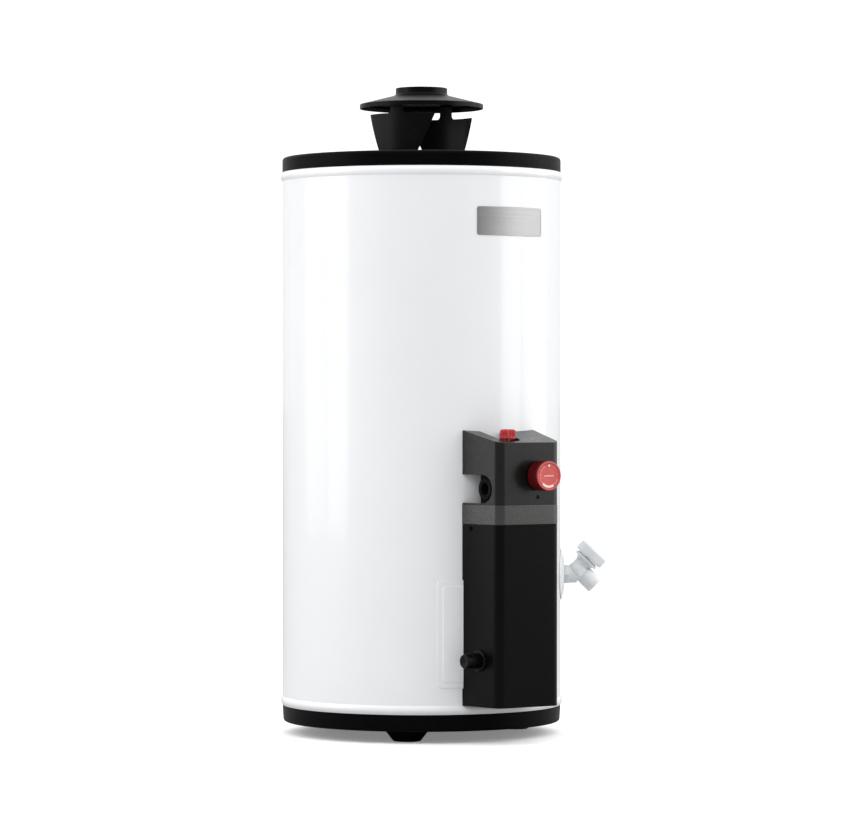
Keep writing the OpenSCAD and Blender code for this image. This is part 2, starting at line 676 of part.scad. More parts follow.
module thermocouple() color("#b87349") {
    x = pilot_x + 10;
    bar_along([[-20, -tube_out, valve_floor + 7], [-20, -tube_out, 100], [-20, -145, 100],
        [x, -145, 100], [x, -flame_out, 100], [x, -flame_out, burner_z - 5]], 1.6);
    translate([x, -flame_out, burner_z - 6]) cylinder(r = 3, h = 42, $fn = 32);
}

// ---- drain valve: the +Z of a branch runs along its axis from the chamber outward ----

module drain_branch(rise) radial(drain_bearing, drain_z, jacket_r)
    translate([0, drain_joint_up, drain_joint_out]) rotate([-rise, 0, 0]) children();

module drain_valve_body() color(enamel) difference() {
    union() {
        radial(drain_bearing, drain_z, 152) cylinder(r = shank_r, h = jacket_r - 152 + 4);
        radial(drain_bearing, drain_z, jacket_r + 3) cylinder(r = 13, h = 21);
        drain_branch(0) translate([0, -3, 0]) sphere(r = 15);
        drain_branch(handle_rise) translate([0, 0, -2]) cylinder(r = 12, h = 16);
        drain_branch(-spout_fall) cylinder(r = 11.5, h = 24);
        drain_branch(-spout_fall) translate([0, 0, 23]) cylinder(r = hose_thread_r, h = 12.4);
    }
    radial(drain_bearing, drain_z, 140) cylinder(r = 8, h = jacket_r - 140 + 24);
    drain_branch(-spout_fall) cylinder(r = 8.5, h = 60);
    drain_branch(handle_rise) translate([0, 0, -3]) cylinder(r = 9, h = 30);
}

module drain_bonnet() color(enamel) drain_branch(handle_rise) difference() {
    union() {
        translate([0, 0, 10.5]) cylinder(r = 9 - gap, h = 5);
        translate([0, 0, 14 + gap]) cylinder(r = 15.6, h = 6.8, $fn = 6);
    }
    cylinder(r = 4 + running, h = 40);
}

module drain_stem() color(brass) drain_branch(handle_rise) difference() {
    translate([0, 0, 2.6]) cylinder(r = 4, h = 33.4);
    translate([0, 0, 26]) cylinder(r = 2, h = 20);
}

module drain_washer() color("#26282a") drain_branch(handle_rise) translate([0, 0, -2.2])
    cylinder(r = 7.5, h = 4.5);

// Fluted hand wheel and the screw that holds it on its stem
module drain_handle() color(enamel) drain_branch(handle_rise) {
    difference() {
        union() {
            translate([0, 0, 23]) cylinder(r = handle_r, h = 14);
            translate([0, 0, 36.9]) cylinder(r1 = handle_r, r2 = handle_r - 2, h = 2.1);
            translate([0, 0, 21.6]) cylinder(r1 = handle_r - 2, r2 = handle_r, h = 1.5);
        }
        for (a = [0:45:315]) rotate([0, 0, a]) translate([handle_r + 3.4, 0, 10])
            cylinder(r = 6, h = 40);
        translate([0, 0, 20]) cylinder(r = 4 + gap / 2, h = 16);
        translate([0, 0, 30]) cylinder(r = 2.1, h = 20);
        translate([0, 0, 36.4]) cylinder(r = 5.4, h = 10);
    }
    translate([0, 0, 36.5]) screw(5, 2.3, 1.9, 9);
}

module drain_escutcheon() color(enamel) radial(drain_bearing, drain_z, jacket_r)
    rotate_extrude() polygon([[37.5, 0.3], [37.5, 1.5], [22, 5.5], [16.5, 5.5], [16.5, 4.3],
        [21.6, 4.3], [36, 0.3]]);

outer_jacket();
top_cover();
base_pan();
front_foot();
right_foot();
rear_foot();
foot_bolts();
inner_tank();
flue_tube();
flue_baffle();
foam_insulation();
combustion_skirt();
cold_water_spud();
hot_water_spud();
dip_tube();
anode_rod();
relief_valve_spud();
control_spud();
drain_spud();
draft_hood_cap();
draft_hood_left_leg();
draft_hood_right_leg();
draft_hood_screws();
gas_valve_body();
thermostat_probe();
dial_shaft();
temperature_dial();
dial_bezel();
gas_cock_bezel();
gas_cock_plug();
gas_cock_stem();
gas_cock_knob();
control_cover_upper();
control_cover_band();
control_cover_lower();
cover_brackets();
cover_screws();
access_panel();
access_panel_screws();
inner_access_door();
nameplate();
piezo_igniter_body();
piezo_nut();
piezo_button();
igniter_lead();
igniter_electrode();
burner();
burner_bracket();
burner_manifold_tube();
manifold_nut();
burner_orifice();
pilot_burner();
pilot_tube();
thermocouple();
drain_valve_body();
drain_bonnet();
drain_stem();
drain_washer();
drain_handle();
drain_escutcheon();
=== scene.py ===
"""Looks of a gas storage water heater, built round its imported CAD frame. Metres, +Z up, control at -Y."""

import json
import math

import bmesh
import bpy
from mathutils import Matrix, Vector


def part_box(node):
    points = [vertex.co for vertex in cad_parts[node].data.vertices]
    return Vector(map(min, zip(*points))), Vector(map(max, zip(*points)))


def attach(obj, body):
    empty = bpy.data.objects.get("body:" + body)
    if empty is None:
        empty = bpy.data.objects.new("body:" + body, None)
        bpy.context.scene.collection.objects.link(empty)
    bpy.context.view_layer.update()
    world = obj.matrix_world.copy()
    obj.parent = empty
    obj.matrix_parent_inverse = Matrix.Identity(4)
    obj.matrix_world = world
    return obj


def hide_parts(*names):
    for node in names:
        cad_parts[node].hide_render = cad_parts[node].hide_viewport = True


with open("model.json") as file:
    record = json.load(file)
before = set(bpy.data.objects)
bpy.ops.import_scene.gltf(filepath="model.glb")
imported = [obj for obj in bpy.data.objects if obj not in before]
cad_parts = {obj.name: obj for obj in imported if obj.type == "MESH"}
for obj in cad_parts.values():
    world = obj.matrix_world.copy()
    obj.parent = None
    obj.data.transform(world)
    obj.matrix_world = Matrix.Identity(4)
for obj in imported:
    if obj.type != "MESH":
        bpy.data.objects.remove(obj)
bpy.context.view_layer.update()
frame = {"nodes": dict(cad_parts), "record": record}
NODES = frame["nodes"]
TAU = 2 * math.pi
MM = 0.001


# ---------------------------------------------------------------- places, from the frame

def low(node):
    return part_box(node)[0]


def high(node):
    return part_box(node)[1]


def middle(node):
    return (Vector(low(node)) + Vector(high(node))) / 2


def bearing_point(bearing, reach, z):
    """A point at that bearing in degrees, from the front (-Y) towards +X."""
    a = math.radians(bearing)
    return Vector((reach * math.sin(a), -reach * math.cos(a), z))


def axis_frame(origin, direction):
    """Matrix whose +Z runs along direction from origin."""
    turn = Vector(direction).normalized().to_track_quat("Z", "Y").to_matrix().to_4x4()
    return Matrix.Translation(Vector(origin)) @ turn


LID_R = high("top_cover")[0]
LID_TOP = high("top_cover")[2]
LID_LOW = high("outer_jacket")[2]
JACKET_R = LID_R
JACKET_LOW = low("outer_jacket")[2]
BEAD = high("outer_jacket")[0] - JACKET_R
PAN_LOW = low("base_pan")[2]
JOINTS = {j["name"]: j for j in frame["record"]["behaviour"]["joints"]}
MOUNTS = {m["name"]: m for m in frame["record"]["mounts"]}
LEG_BEARING = -61
DRAIN_BEARING = 56
DRAIN_Z = middle("drain_escutcheon").z
DRAIN_OUT = bearing_point(DRAIN_BEARING, 1, 0)
FOOT_NODES = ("front_foot", "right_foot", "rear_foot")
CENTRE_R = 0.00001  # radius where a lathed face closes on its axis
CUTTER_SIDES = 64


# ---------------------------------------------------------------- materials

def socket(shader, name, value):
    shader.inputs[name].default_value = value


def material(name, colour, roughness, metallic=0.0, *, mottle=0.06, mottle_scale=30.0, grain=900.0,
             grain_depth=0.00002, grain_strength=0.25, rough_spread=0.08, wear=0.0,
             wear_colour=(0.5, 0.5, 0.5), stretch=(1, 1, 1), coat=0.0, coat_roughness=0.1,
             specular=0.5, anisotropy=0.0, fine=0.0, dust=0.0):
    """Principled material: mottled colour, varied roughness, grained bump, worn edges, settled dust."""
    worn_edge, worn_patch, lying_face = (0.53, 0.62), (0.4, 0.6), (0.6, 1.0)
    dust_colour = (0.32, 0.31, 0.29)
    m = bpy.data.materials.new(name)
    m.use_nodes = True
    tree = m.node_tree
    nodes, links = tree.nodes, tree.links
    shader = nodes["Principled BSDF"]
    socket(shader, "Metallic", metallic)
    socket(shader, "Coat Weight", coat)
    socket(shader, "Coat Roughness", coat_roughness)
    socket(shader, "Specular IOR Level", specular)
    socket(shader, "Anisotropic", anisotropy)

    place = nodes.new("ShaderNodeTexCoord")
    mapping = nodes.new("ShaderNodeMapping")
    mapping.inputs["Scale"].default_value = stretch
    links.new(place.outputs["Object"], mapping.inputs["Vector"])

    def noise(scale, detail):
        n = nodes.new("ShaderNodeTexNoise")
        n.inputs["Scale"].default_value = scale
        n.inputs["Detail"].default_value = detail
        links.new(mapping.outputs["Vector"], n.inputs["Vector"])
        return n

    def ranged(source, low_value, high_value, from_min=0.3, from_max=0.7):
        r = nodes.new("ShaderNodeMapRange")
        r.inputs["From Min"].default_value = from_min
        r.inputs["From Max"].default_value = from_max
        r.inputs["To Min"].default_value = low_value
        r.inputs["To Max"].default_value = high_value
        links.new(source, r.inputs["Value"])
        return r.outputs["Result"]

    def mixed(factor, a, b):
        x = nodes.new("ShaderNodeMix")
        x.data_type = "RGBA"
        links.new(factor, x.inputs["Factor"])
        for value, end in ((a, "A"), (b, "B")):
            target = [i for i in x.inputs if i.name == end and i.type == "RGBA"][0]
            if isinstance(value, tuple):
                target.default_value = (*value, 1)
            else:
                links.new(value, target)
        return [o for o in x.outputs if o.type == "RGBA"][0]

    broad = noise(mottle_scale, 3)
    darker = tuple(c * (1 - mottle) for c in colour)
    lighter = tuple(min(1.0, c * (1 + mottle)) for c in colour)
    tint = mixed(ranged(broad.outputs["Fac"], 0, 1), darker, lighter)
    if wear:
        geometry = nodes.new("ShaderNodeNewGeometry")
        scratch = noise(grain * 0.6, 4)
        edge = ranged(geometry.outputs["Pointiness"], 0, wear, *worn_edge)
        patch = ranged(scratch.outputs["Fac"], 0, 1, *worn_patch)
        both = nodes.new("ShaderNodeMath")
        both.operation = "MULTIPLY"
        links.new(edge, both.inputs[0])
        links.new(patch, both.inputs[1])
        tint = mixed(both.outputs["Value"], tint, wear_colour)
    if dust:
        up = nodes.new("ShaderNodeNewGeometry")
        split = nodes.new("ShaderNodeSeparateXYZ")
        links.new(up.outputs["Normal"], split.inputs["Vector"])
        lying = ranged(split.outputs["Z"], 0, dust, *lying_face)
        speck = ranged(noise(220, 6).outputs["Fac"], 0.2, 1)
        film = nodes.new("ShaderNodeMath")
        film.operation = "MULTIPLY"
        links.new(lying, film.inputs[0])
        links.new(speck, film.inputs[1])
        tint = mixed(film.outputs["Value"], tint, dust_colour)
    links.new(tint, shader.inputs["Base Color"])

    rough = ranged(noise(mottle_scale * 4, 5).outputs["Fac"], roughness - rough_spread / 2,
                   roughness + rough_spread / 2)
    links.new(rough, shader.inputs["Roughness"])

    bump = nodes.new("ShaderNodeBump")
    bump.inputs["Strength"].default_value = grain_strength
    bump.inputs["Distance"].default_value = grain_depth
    links.new(noise(grain, 2).outputs["Fac"], bump.inputs["Height"])
    if fine:
        second = nodes.new("ShaderNodeBump")
        second.inputs["Strength"].default_value = fine
        second.inputs["Distance"].default_value = grain_depth * 0.5
        links.new(noise(grain * 4, 2).outputs["Fac"], second.inputs["Height"])
        links.new(bump.outputs["Normal"], second.inputs["Normal"])
        bump = second
    links.new(bump.outputs["Normal"], shader.inputs["Normal"])
    return m


ENAMEL = material("white_enamel", (0.745, 0.757, 0.775), 0.24, mottle=0.012, mottle_scale=7, grain=160,
                  grain_depth=0.0002, grain_strength=0.12, rough_spread=0.05, coat=0.4,
                  coat_roughness=0.06, wear=0.25, wear_colour=(0.6, 0.61, 0.62))
GLOSS_BLACK = material("black_stove_enamel", (0.001, 0.001, 0.0012), 0.42, mottle=0.3, grain=1500,
                       grain_depth=0.00003, grain_strength=0.3, wear=0.4, wear_colour=(0.02, 0.02, 0.02),
                       specular=0.05, dust=0.02)
HOOD_BLACK = material("hood_black", (0.0014, 0.0014, 0.0015), 0.36, mottle=0.3, grain=1100,
                      grain_depth=0.00003, grain_strength=0.3, wear=0.5, wear_colour=(0.03, 0.03, 0.03),
                      specular=0.12, dust=0.01)
COVER_GREY = material("cover_grey", (0.0026, 0.0025, 0.0024), 0.3, mottle=0.12, grain=1800,
                      grain_depth=0.00003, grain_strength=0.2, wear=0.35, wear_colour=(0.06, 0.06, 0.06),
                      specular=0.4)
COVER_BLACK = material("cover_black", (0.0011, 0.001, 0.001), 0.32, mottle=0.15, grain=1800,
                       grain_depth=0.00003, grain_strength=0.2, wear=0.4, wear_colour=(0.03, 0.03, 0.03),
                       specular=0.1)
BAND_GREY = material("band_grey", (0.08, 0.08, 0.078), 0.28, 0.8, mottle=0.06, grain=500,
                     grain_depth=0.00002, grain_strength=0.1, stretch=(1, 1, 14), wear=0.3,
                     wear_colour=(0.2, 0.2, 0.2), specular=0.3)
RED = material("red_plastic", (0.42, 0.012, 0.018), 0.33, mottle=0.08, grain=1300, grain_depth=0.00003,
               grain_strength=0.25, wear=0.35, wear_colour=(0.72, 0.2, 0.2), coat=0.15,
               coat_roughness=0.2)
# Ribbed side of the dial: the same red plastic as its face, made far darker as painted shade on the side.
DIAL_SIDE_PAINTED_SHADE = material("dial_side_painted_shade", (0.085, 0.003, 0.0045), 0.36, mottle=0.08, grain=1300,
                     grain_depth=0.00003, grain_strength=0.25, wear=0.12, wear_colour=(0.3, 0.05, 0.05),
                     specular=0.3)
DIAL_FACE = material("dial_face", (0.5, 0.07, 0.066), 0.38, mottle=0.05, grain=1300,
                     grain_depth=0.00003, grain_strength=0.25, wear=0.2, wear_colour=(0.75, 0.3, 0.27))
DIAL_PRINT = material("dial_print", (0.88, 0.62, 0.58), 0.5, mottle=0.08, grain=2500,
                      grain_depth=0.00002)
WHITE_PRINT = material("white_print", (0.72, 0.72, 0.7), 0.5, mottle=0.08, grain=2500)
BLACK_PLASTIC = material("black_plastic", (0.0016, 0.0016, 0.0018), 0.32, mottle=0.2, grain=1600,
                         grain_depth=0.00004, grain_strength=0.4, wear=0.25, wear_colour=(0.01, 0.01, 0.01),
                         specular=0.14)
VALVE_WHITE = material("valve_white", (0.72, 0.745, 0.76), 0.3, mottle=0.02, mottle_scale=50, grain=700,
                       grain_depth=0.00003, grain_strength=0.3, wear=0.3, wear_colour=(0.8, 0.81, 0.82))
PLATE = material("brushed_plate", (0.4, 0.4, 0.4), 0.42, 1.0, mottle=0.06, mottle_scale=12, grain=60,
                 grain_depth=0.00004, grain_strength=0.5, stretch=(1, 1, 90), anisotropy=0.5, fine=0.3,
                 rough_spread=0.14)
ZINC = material("zinc", (0.55, 0.56, 0.58), 0.34, 1.0, mottle=0.1, grain=900, rough_spread=0.16,
                wear=0.3, wear_colour=(0.8, 0.8, 0.8))
STEEL = material("mill_steel", (0.33, 0.335, 0.345), 0.45, 1.0, mottle=0.18, grain=500, rough_spread=0.2)
PRIMER = material("tank_primer", (0.05, 0.11, 0.2), 0.5, mottle=0.12, grain=700)
# Near-black coat for the gas valve body: painted shade that stands for the shadow inside the control cover,
# not the casting's own colour.
VALVE_BODY_PAINTED_SHADE = material("valve_body_painted_shade", (0.004, 0.004, 0.0042), 0.6, mottle=0.15, grain=1200,
                       grain_depth=0.00006, grain_strength=0.6, specular=0.06)
CASTING = material("die_casting", (0.5, 0.51, 0.53), 0.48, 1.0, mottle=0.08, grain=1400,
                   grain_depth=0.00006, grain_strength=0.6)
BRASS = material("brass", (0.62, 0.42, 0.14), 0.32, 1.0, mottle=0.1, grain=900)
COPPER = material("copper", (0.62, 0.27, 0.13), 0.34, 1.0, mottle=0.14, grain=900)
ALLOY = material("alloy_tube", (0.62, 0.63, 0.65), 0.36, 1.0, mottle=0.08, grain=900)
FOAM = material("foam", (0.72, 0.58, 0.3), 0.85, mottle=0.14, mottle_scale=90, grain=420,
                grain_depth=0.0008, grain_strength=0.9)
PIPE_PLASTIC = material("pipe_plastic", (0.68, 0.65, 0.58), 0.45, mottle=0.04, grain=900)
CERAMIC = material("ceramic", (0.8, 0.77, 0.7), 0.3, mottle=0.04, grain=900)
RUBBER = material("washer_rubber", (0.02, 0.02, 0.021), 0.7, mottle=0.2, grain=900)
SILICONE = material("lead_silicone", (0.25, 0.04, 0.03), 0.5, mottle=0.1, grain=900)
DARK_PAINT = material("mark_black", (0.001, 0.001, 0.001), 0.5, mottle=0.2, grain=1500, specular=0.05)
GASKET = material("gasket", (0.03, 0.03, 0.03), 0.75, mottle=0.2, grain=900)

SLOT_LOOKS = {
    "white_enamel": ENAMEL, "black_paint": GLOSS_BLACK, "zinc_fasteners": ZINC, "tank_steel": PRIMER,
    "bare_steel": STEEL, "foam": FOAM, "pipe_plastic": PIPE_PLASTIC, "anode_metal": CASTING,
    "valve_casting": CASTING, "copper": COPPER, "brass": BRASS, "aluminium_tube": ALLOY,
    "red_plastic": RED, "black_plastic": BLACK_PLASTIC, "cover_grey": COVER_GREY,
    "band_grey": BAND_GREY, "cover_black": COVER_BLACK, "plate_metal": PLATE,
    "lead_jacket": SILICONE, "ceramic": CERAMIC, "valve_white": VALVE_WHITE,
    "washer_rubber": RUBBER,
}
# The gas valve body takes the near-black painted shade instead of its casting look.
NODE_LOOKS = {"gas_valve_body": VALVE_BODY_PAINTED_SHADE}
for entry in frame["record"]["subparts"]:
    for held in NODES[entry["node"]].material_slots:
        held.material = NODE_LOOKS.get(entry["node"], SLOT_LOOKS[entry["material_slot"]])


# ---------------------------------------------------------------- mesh tools

def made(name, bm, matrix=None):
    """A new object from a bmesh, moved by matrix."""
    bmesh.ops.recalc_face_normals(bm, faces=bm.faces)
    mesh = bpy.data.meshes.new(name)
    bm.to_mesh(mesh)
    bm.free()
    if matrix is not None:
        mesh.transform(matrix)
    obj = bpy.data.objects.new(name, mesh)
    bpy.context.collection.objects.link(obj)
    return obj


def applied(obj):
    """Applies every modifier on obj."""
    graph = bpy.context.evaluated_depsgraph_get()
    mesh = bpy.data.meshes.new_from_object(obj.evaluated_get(graph))
    obj.modifiers.clear()
    obj.data = mesh
    return obj


def bevelled(obj, width, segments=2, angle=30):
    b = obj.modifiers.new("bevel", "BEVEL")
    b.width = width
    b.segments = segments
    b.limit_method = "ANGLE"
    b.angle_limit = math.radians(angle)
    b.use_clamp_overlap = True
    return applied(obj)


def cut(obj, *cutters):
    """Subtracts the cutters from obj and deletes them."""
    for c in cutters:
        b = obj.modifiers.new("cut", "BOOLEAN")
        b.operation = "DIFFERENCE"
        b.solver = "EXACT"
        b.object = c
    applied(obj)
    for c in cutters:
        bpy.data.objects.remove(c)
    return obj


def joined(name, *objs):
    """One object from several, with their materials kept."""
    bm = bmesh.new()
    looks = []
    for o in objs:
        start = len(bm.faces)
        bm.from_mesh(o.data)
        bm.faces.ensure_lookup_table()
        table = []
        for m in o.data.materials:
            if m not in looks:
                looks.append(m)
            table.append(looks.index(m))
        for f in bm.faces[start:]:
            f.material_index = table[f.material_index] if table else 0
    mesh = bpy.data.meshes.new(name)
    bm.to_mesh(mesh)
    bm.free()
    for m in looks:
        mesh.materials.append(m)
    for o in objs:
        bpy.data.objects.remove(o)
    obj = bpy.data.objects.new(name, mesh)
    bpy.context.collection.objects.link(obj)
    return obj


def painted(obj, look):
    obj.data.materials.clear()
    obj.data.materials.append(look)
    return obj


def smooth(obj, angle=32):
    """Smooth shading up to that angle, with flat faces kept flat beside their rounded edges."""
    for p in obj.data.polygons:
        p.use_smooth = True
    obj.data.set_sharp_from_angle(angle=math.radians(angle))
    w = obj.modifiers.new("weighted", "WEIGHTED_NORMAL")
    w.keep_sharp = True
    return applied(obj)


def placed(obj, body, look=None, nodes=(), angle=32):
    """Finishes a piece: shading, material, the body it rides on and the nodes that it stands for."""
    if look is not None:
        painted(obj, look)
    smooth(obj, angle)
    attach(obj, body)
    if nodes:
        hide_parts(*nodes)
    return obj


def rounded_path(points, steps=5):
    """Points (a, b) or (a, b, radius): each corner with a radius becomes a curve."""
    out = []
    count = len(points)
    for i, p in enumerate(points):
        here = Vector(p[:2])
        size = p[2] if len(p) > 2 else 0
        if not size:
            out.append(here)
            continue
        before = Vector(points[i - 1][:2]) - here
        after = Vector(points[(i + 1) % count][:2]) - here
        a = here + before.normalized() * min(size, before.length * 0.49)
        b = here + after.normalized() * min(size, after.length * 0.49)
        for k in range(steps + 1):
            t = k / steps
            out.append(a * (1 - t) ** 2 + here * 2 * t * (1 - t) + b * t ** 2)
    return out


def lathe(name, points, matrix=None, steps=96, ribs=0, rib_depth=0.0, sharpness=1.0):
    """Closed profile of (radius, height[, corner radius[, rib weight]]) turned about Z.

    Ribs push the wall in between crests, by rib_depth times the weight that is nearest on the profile.
    """
    path = rounded_path([p[:3] for p in points])
    weights = []
    for q in path:
        near = min(points, key=lambda p: (Vector(p[:2]) - q).length)
        weights.append(near[3] if len(near) > 3 else 0.0)
    bm = bmesh.new()
    rings = []
    for k in range(steps):
        a = TAU * k / steps
        ring = []
        for q, w in zip(path, weights):
            r = q.x
            if ribs and w:
                wave = 0.5 - 0.5 * math.cos(a * ribs)
                r -= rib_depth * w * wave ** sharpness
            ring.append(bm.verts.new((r * math.cos(a), r * math.sin(a), q.y)))
        rings.append(ring)
    count = len(path)
    for k in range(steps):
        a, b = rings[k], rings[(k + 1) % steps]
        for i in range(count):
            j = (i + 1) % count
            bm.faces.new((a[i], b[i], b[j], a[j]))
    bmesh.ops.remove_doubles(bm, verts=bm.verts, dist=1e-7)
    return made(name, bm, matrix)


def prism(name, outline, depth, matrix=None):
    """Outline of (x, y) points pushed up +Z by depth."""
    bm = bmesh.new()
    verts = [bm.verts.new((p[0], p[1], 0)) for p in outline]
    face = bm.faces.new(verts)
    pushed = bmesh.ops.extrude_face_region(bm, geom=[face])
    up = [v for v in pushed["geom"] if isinstance(v, bmesh.types.BMVert)]
    bmesh.ops.translate(bm, verts=up, vec=(0, 0, depth))
    return made(name, bm, matrix)


def prism_ring(name, outer, inner, depth):
    """Flat ring between two outlines with the same number of points, in XZ, its depth along -Y."""
    bm = bmesh.new()
    loops = []
    for y in (0, -depth):
        for outline in (outer, inner):
            loops.append([bm.verts.new((p[0], y, p[1])) for p in outline])
    count = len(outer)
    for a, b in ((0, 1), (1, 3), (3, 2), (2, 0)):
        for i in range(count):
            j = (i + 1) % count
            bm.faces.new((loops[a][i], loops[a][j], loops[b][j], loops[b][i]))
    return made(name, bm)


def rounded_rectangle(width, height, radius):
    x, y = width / 2, height / 2
    return rounded_path([(x, y, radius), (-x, y, radius), (-x, -y, radius), (x, -y, radius)], 6)


def disc_cutter(r, length, matrix):
    """A cylinder about the matrix's Z, centred on its origin, used only to cut."""
    bm = bmesh.new()
    bmesh.ops.create_cone(bm, cap_ends=True, segments=CUTTER_SIDES, radius1=r, radius2=r, depth=length)
    return made("cutter", bm, matrix)


def box_cutter(lower, upper):
    bm = bmesh.new()
    bmesh.ops.create_cube(bm, size=1)
    size = Vector(upper) - Vector(lower)
    bmesh.ops.scale(bm, vec=size, verts=bm.verts)
    bmesh.ops.translate(bm, vec=(Vector(upper) + Vector(lower)) / 2, verts=bm.verts)
    return made("cutter", bm)


def bent_plate(name, outline, thickness, radius, bearing, z, edge, column=0.004):
    """Flat plate of (x, z) points, its edges rounded, bent round the tank's axis at a bearing."""
    bm = bmesh.new()
    face = bm.faces.new([bm.verts.new((p[0], 0, p[1])) for p in outline])
    pushed = bmesh.ops.extrude_face_region(bm, geom=[face])
    out = [v for v in pushed["geom"] if isinstance(v, bmesh.types.BMVert)]
    bmesh.ops.translate(bm, verts=out, vec=(0, -thickness, 0))
    plate = made(name, bm)
    bevelled(plate, edge, 2, 40)
    return bend(plate, radius, bearing, z, column)


def bend(plate, radius, bearing, z, column=0.004):
    """Bends what lies in the XZ plane, its depth along -Y, round the tank's axis."""
    bm = bmesh.new()
    bm.from_mesh(plate.data)
    left = min(v.co.x for v in bm.verts)
    right = max(v.co.x for v in bm.verts)
    for i in range(1, int((right - left) / column) + 1):
        bmesh.ops.bisect_plane(bm, geom=[*bm.verts, *bm.edges, *bm.faces],
                               plane_co=(left + i * column, 0, 0), plane_no=(1, 0, 0))
    start = math.radians(bearing)
    for v in bm.verts:
        a = start + v.co.x / radius
        r = radius - v.co.y
        v.co = Vector((r * math.sin(a), -r * math.cos(a), z + v.co.z))
    bm.normal_update()
    bm.to_mesh(plate.data)
    bm.free()
    return plate


def softened(node, width=0.0004, segments=2, angle=35):
    """A copy of a CAD node with its flat faces merged and its edges rounded."""
    bm = bmesh.new()
    bm.from_mesh(NODES[node].data)
    bmesh.ops.remove_doubles(bm, verts=bm.verts, dist=2e-6)
    bmesh.ops.dissolve_limit(bm, angle_limit=math.radians(0.6), verts=bm.verts, edges=bm.edges)
    obj = made("soft_" + node, bm)
    return bevelled(obj, width, segments, angle)


# ---------------------------------------------------------------- jacket, lid, pan and feet

def bead_profile(r, z0, z1, bulge):
    steps = 14
    return [(r + bulge * math.sin(math.pi * i / steps) ** 0.8, z0 + (z1 - z0) * i / steps)
            for i in range(steps + 1)]


RELIEF_PORT = MOUNTS["relief_valve_port"]
LID_OPENINGS = ("cold_water_spud", "hot_water_spud", "anode_rod")


def build_jacket():
    wall = 0.001
    bead = 0.013
    relief_r, drain_r, control_r, depth = 0.018, 0.016, 0.02, 0.08
    control_z = low("gas_valve_body")[2] + 0.023
    door_half, door_low, door_top = 0.06, 0.092, 0.208
    seam_bearing, seam_width, seam_rise = 168, 0.011, 0.0009
    outer = [(JACKET_R, JACKET_LOW)]
    outer += bead_profile(JACKET_R, JACKET_LOW + 0.0005, JACKET_LOW + bead, BEAD)
    step = 0.04
    count = int((LID_LOW - JACKET_LOW - 2 * bead) / step)
    outer += [(JACKET_R, JACKET_LOW + bead + step * (i + 0.5)) for i in range(count)]
    outer += bead_profile(JACKET_R, LID_LOW - bead, LID_LOW - 0.0005, BEAD)
    outer += [(JACKET_R, LID_LOW)]
    inner = [(JACKET_R - wall, LID_LOW), (JACKET_R - wall, JACKET_LOW)]
    jacket = lathe("jacket_shell", outer + inner, steps=288)
    drain = bearing_point(DRAIN_BEARING, JACKET_R, DRAIN_Z)
    cut(jacket,
        disc_cutter(relief_r, depth, axis_frame(RELIEF_PORT["pos_m"], RELIEF_PORT["axis"])),
        disc_cutter(drain_r, depth, axis_frame(drain, DRAIN_OUT)),
        disc_cutter(control_r, depth, axis_frame((0, -JACKET_R, control_z), (0, -1, 0))),
        box_cutter((-door_half, -JACKET_R - 0.02, door_low), (door_half, -JACKET_R + 0.03, door_top)))
    placed(jacket, "heater", ENAMEL, ["outer_jacket"], 30)

    seam_height = LID_LOW - JACKET_LOW - 2 * bead - 0.004
    seam = bent_plate("jacket_seam", rounded_rectangle(seam_width, seam_height, 0.002), seam_rise,
                      JACKET_R, seam_bearing, (LID_LOW + JACKET_LOW) / 2, 0.0004)
    placed(seam, "heater", ENAMEL)


def build_lid():
    r, top, base = LID_R, LID_TOP, LID_LOW
    lip = low("top_cover")[2]
    hole, pipe_hole = 0.0395, 0.018
    recess = top - 0.0022
    profile = [
        (r, base + 0.0001, 0.0006), (r, top, 0.0055), (r - 0.014, top, 0.002),
        (r - 0.0165, recess, 0.002), (hole + 0.014, recess, 0.002),
        (hole + 0.011, top, 0.002), (hole, top, 0.0006), (hole, top - 0.0034),
        (r - 0.017, top - 0.0034, 0.001), (r - 0.0014, top - 0.0012, 0.004),
        (r - 0.0014, base + 0.003), (r - 0.0024, base + 0.001), (r - 0.0024, lip),
        (r - 0.0014, lip), (r - 0.0014, base + 0.0001),
    ]
    lid = lathe("lid_pressing", profile, steps=288)
    cutters = []
    for node in LID_OPENINGS:
        c = middle(node)
        cutters.append(disc_cutter(pipe_hole, 0.06, Matrix.Translation((c.x, c.y, top))))
    cut(lid, *cutters)
    placed(lid, "heater", GLOSS_BLACK, ["top_cover"], 30)
    for node in LID_OPENINGS:
        c = middle(node)
        ring = lathe(node + "_grommet", [
            (0.0225, recess, 0.0004), (0.0218, top - 0.0002, 0.0012), (0.0195, top + 0.0006, 0.0008),
            (0.0172, top + 0.0006, 0.0006), (0.0169, top - 0.0006, 0.0003), (0.0169, top - 0.004, 0.0003),
            (0.0178, top - 0.004, 0.0003), (0.0178, recess)],
            Matrix.Translation((c.x, c.y, 0)), 64)
        placed(ring, "heater", GASKET)


def build_pan():
    r, base = JACKET_R, PAN_LOW
    top = JACKET_LOW
    lip = high("base_pan")[2]
    flue_r, air_hole_r, air_hole_reach = 0.04, 0.012, 0.09
    profile = [
        (flue_r, base, 0.0005), (r - 0.0015, base, 0.0045), (r - 0.0002, top - 0.0035, 0.002),
        (r, top - 0.0001, 0.0008), (r - 0.0014, top - 0.0001), (r - 0.0014, lip), (r - 0.0026, lip),
        (r - 0.0026, top - 0.003), (r - 0.0028, base + 0.0012, 0.0035), (flue_r, base + 0.0012, 0.0005),
    ]
    pan = lathe("base_pan_pressing", profile, steps=288)
    cutters = []
    for i in range(6):
        c = bearing_point(90 + 60 * i, air_hole_reach, base)
        cutters.append(disc_cutter(air_hole_r, 0.02, Matrix.Translation(c)))
    cut(pan, *cutters)
    placed(pan, "heater", GLOSS_BLACK, ["base_pan"], 30)


